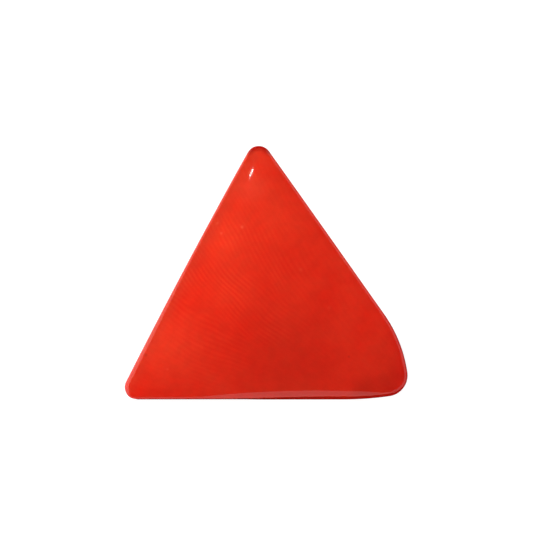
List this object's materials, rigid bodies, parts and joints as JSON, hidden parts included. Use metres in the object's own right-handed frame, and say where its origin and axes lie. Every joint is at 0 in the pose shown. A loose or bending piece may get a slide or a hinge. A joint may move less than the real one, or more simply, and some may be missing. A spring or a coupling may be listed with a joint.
{
  "type": "triangular cabochon gemstone",
  "caption": "Polished triangular cabochon of orange-red precious coral, with rounded corners, a low domed crown, one bulging side, a long narrow facet along the front, upright walls and a flat base.",
  "frame": {"origin": "centre of the outline's box, on the plane of the flat base", "axes": "+Z from the base up through the crown; +Y towards the apex; +X towards the bulging side, parallel to the straight front edge"},
  "size_m": [0.018, 0.0162, 0.0037],
  "materials": {
    "coral": "polished"
  },
  "bodies": {
    "root": {"coral_cabochon": "coral"}
  },
  "joints": []
}
